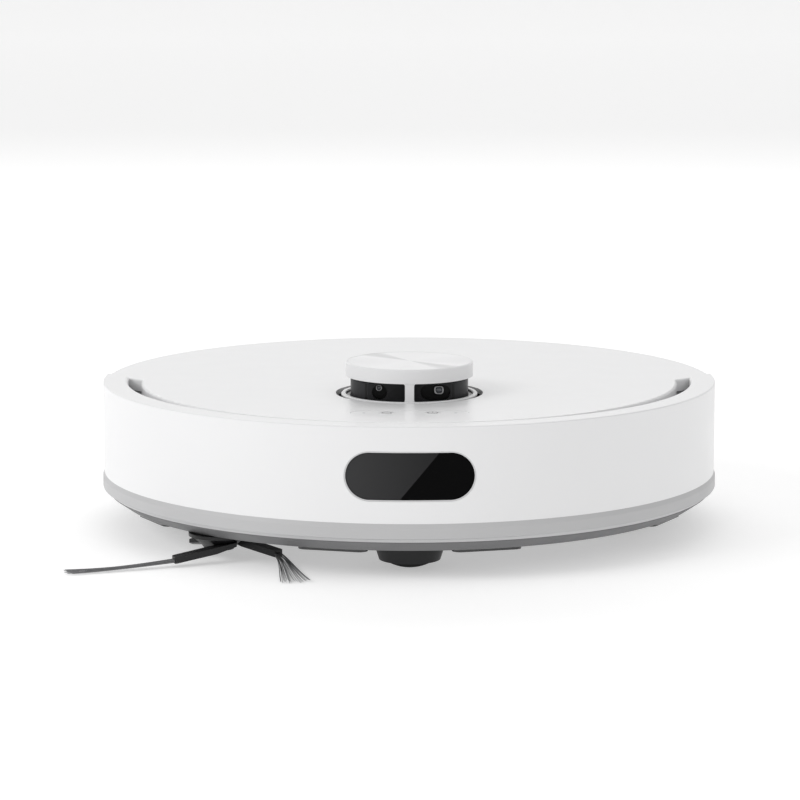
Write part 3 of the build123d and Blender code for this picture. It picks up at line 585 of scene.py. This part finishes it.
def add_fin(bm, index, low, high, axis, reach):
    """One chevron fin, thick at its foot and narrower towards its edge."""
    half = ((SLEEVE_R - 0.8 * MM, 1.5 * MM), (SLEEVE_R + 1.0 * MM, 1.1 * MM),
            (reach - 0.8 * MM, 0.7 * MM), (reach - 0.1 * MM, 0.45 * MM))
    profile = half + tuple((r, -w) for r, w in reversed(half))
    sections = []
    for i in range(FIN_STEPS + 1):
        share = i / FIN_STEPS
        angle = fin_angle(index, share)
        x = low.x + FIN_END + (high.x - low.x - 2 * FIN_END) * share
        out = Vector((0, math.cos(angle), math.sin(angle)))
        across = Vector((0, -math.sin(angle), math.cos(angle)))
        middle = Vector((x, axis.y, axis.z))
        sections.append([bm.verts.new(middle + out * r + across * w) for r, w in profile])
    for first, second in zip(sections, sections[1:]):
        band(bm, first, second)
    close_ends(bm, sections)


def add_tuft(bm, rng, x, angle, axis, reach):
    foot_r = SLEEVE_R * 0.97
    for _ in range(TUFT_FIBRES):
        lean = angle + rng.uniform(-0.05, 0.05)
        foot = Vector((x + rng.uniform(-0.5, 0.5) * MM, axis.y + foot_r * math.cos(angle),
                       axis.z + foot_r * math.sin(angle)))
        tip_r = reach - rng.uniform(0.1, 1.0) * MM
        tip = Vector((x + rng.uniform(-1.3, 1.3) * MM, axis.y + tip_r * math.cos(lean),
                      axis.z + tip_r * math.sin(lean)))
        sweep_tube(bm, [foot, (foot + tip) / 2, tip], [0.16 * MM, 0.15 * MM, 0.1 * MM], sides=4)


def add_roller():
    """The roller's sleeve with chevron fins of rubber, and rows of tufts between them."""
    low, high = box_of("brush_vanes")
    axis = (low + high) / 2
    reach = (high.z - low.z) / 2
    bm = bmesh.new()
    add_sleeve(bm, low, high, axis)
    for index in range(0, FIN_COUNT, 2):
        add_fin(bm, index, low, high, axis, reach)
    rubber = plain("fin_rubber", (0.03, 0.03, 0.032), 0.5, grain=1600, depth=0.00001, mottle=0.1)
    add_piece("brush_fins", mesh_from(bm, "brush_fins"), rubber, "main_brush", "brush_rubber",
              "brush_vanes")

    rng = random.Random(9)
    bm = bmesh.new()
    for index in range(1, FIN_COUNT, 2):
        for i in range(TUFTS):
            share = (i + 0.5) / TUFTS
            x = low.x + TUFT_END + (high.x - low.x - 2 * TUFT_END) * share
            add_tuft(bm, rng, x, fin_angle(index, share), axis, reach)
    tuft = plain("tuft_nylon", (0.10, 0.10, 0.11), 0.5, grain=2000, depth=0.000004, mottle=0.2)
    add_piece("brush_tufts", mesh_from(bm, "brush_tufts"), tuft, "main_brush", "bristle", "brush_vanes")


# --- Lidar eyes -----------------------------------------------------------------------------

EMITTER_R = 1.7 * MM
RECEIVER_HALF_WIDTH = 2.6 * MM
RECEIVER_HALF_HEIGHT = 2.3 * MM
RECEIVER_SQUARENESS = 3.2  # 2 is an ellipse
EYE_SIDES = 40
# share of the eye's half width, and millimetres behind its face
BARREL = ((1.0, 2.4), (1.0, 0.1), (0.93, 0.0), (0.74, 0.0), (0.7, 0.5), (0.7, 2.4))
DOME = ((0.69, 2.3), (0.69, 0.8), (0.6, 0.5), (0.42, 0.27), (0.2, 0.16), (0.02, 0.13))


def eye_ring(bm, centre, half_x, half_z, power):
    """An upright ring of points round an eye's axis; a higher power makes it squarer."""
    ring = []
    for k in range(EYE_SIDES):
        angle = 2 * math.pi * k / EYE_SIDES
        c, s = math.cos(angle), math.sin(angle)
        reach = (abs(c) ** power + abs(s) ** power) ** (-1 / power)
        ring.append(bm.verts.new(centre + Vector((half_x * reach * c, 0, half_z * reach * s))))
    return ring


def add_lidar_eyes():
    """The emitter and the receiver: turned metal barrels with domed glass in them."""
    low, high = box_of("lidar_lenses")
    eyes = (
        ("emitter", low.x + EMITTER_R, high.z - EMITTER_R, EMITTER_R, EMITTER_R, 2.0),
        ("receiver", high.x - RECEIVER_HALF_WIDTH, low.z + RECEIVER_HALF_WIDTH,
         RECEIVER_HALF_WIDTH, RECEIVER_HALF_HEIGHT, RECEIVER_SQUARENESS),
    )
    metal = plain("barrel_metal", (0.5, 0.5, 0.51), 0.3, grain=2500, depth=0.000004, metal=0.8)
    glass = lens_glass("eye_glass", (0.16, 0.17, 0.19))
    for name, x, z, half_x, half_z, power in eyes:
        for kind, profile, material in (("barrel", BARREL, metal), ("glass", DOME, glass)):
            bm = bmesh.new()
            rings = [eye_ring(bm, Vector((x, low.y + depth * MM, z)), half_x * share, half_z * share, power)
                     for share, depth in profile]
            for ring, after in zip(rings, rings[1:]):
                band(bm, ring, after)
            if kind == "barrel":
                band(bm, rings[-1], rings[0])
            else:
                close_ends(bm, rings)
            piece = f"{name}_{kind}"
            add_piece(piece, mesh_from(bm, piece), material, "lidar", "lens", "lidar_lenses")


# --- Icons ----------------------------------------------------------------------------------

ICON_LINE = 0.6 * MM
ICON_FOOT = 0.02 * MM  # below the key's top
ICON_PROUD = 0.03 * MM
POWER_R = 2.7
POWER_GAP = 70  # degrees left open at the top
POWER_STEPS = 28
POWER_STEM = ((0, 0.6), (0, 3.2))
ROOF = ((-3.0, 0.2), (0, 3.0), (3.0, 0.2))
WALLS = ((-2.2, 0.7), (-2.2, -2.4), (2.2, -2.4), (2.2, 0.7))


def ribbon(bm, points, width, z0, z1):
    """A flat line of a given width, drawn on a level surface."""
    corners = []
    for i, point in enumerate(points):
        ahead = (points[min(i + 1, len(points) - 1)] - points[max(i - 1, 0)]).normalized()
        side = Vector((-ahead.y, ahead.x)) * width / 2
        edges = (point + side, point - side)
        corners.append([bm.verts.new((edge.x, edge.y, z)) for z in (z0, z1) for edge in edges])
    for a, b in zip(corners, corners[1:]):
        bm.faces.new((a[2], a[3], b[3], b[2]))
        bm.faces.new((a[0], b[0], b[1], a[1]))
        bm.faces.new((a[0], a[2], b[2], b[0]))
        bm.faces.new((a[1], b[1], b[3], a[3]))
    first, last = corners[0], corners[-1]
    bm.faces.new((first[0], first[1], first[3], first[2]))
    bm.faces.new((last[0], last[2], last[3], last[1]))


def power_arc():
    """The open ring of the power sign, in millimetres about the key's middle."""
    start = 90 + POWER_GAP / 2
    angles = (math.radians(start + (360 - POWER_GAP) * k / POWER_STEPS) for k in range(POWER_STEPS + 1))
    return [(POWER_R * math.cos(a), POWER_R * math.sin(a)) for a in angles]


def add_icons():
    """A generic power sign and a generic house, raised a hair's breadth on the two keys."""
    ink = plain("icon_grey", (0.22, 0.22, 0.225), 0.5, grain=900, depth=0.000001)
    for sign, lines in (("power", (power_arc(), POWER_STEM)), ("home", (ROOF, WALLS))):
        low, high = box_of(f"{sign}_button")
        middle = Vector(((low.x + high.x) / 2, (low.y + high.y) / 2))
        bm = bmesh.new()
        for line in lines:
            points = [middle + Vector(point) * MM for point in line]
            ribbon(bm, points, ICON_LINE, high.z - ICON_FOOT, high.z + ICON_PROUD)
        add_piece(f"{sign}_icon", mesh_from(bm, "icon", smooth=False), ink, f"{sign}_key", "strip_grey")


add_camera()
add_studio()
add_floor()
finish_outside()
finish_chassis()
add_side_brush_fibres()
add_roller()
add_lidar_eyes()
add_icons()
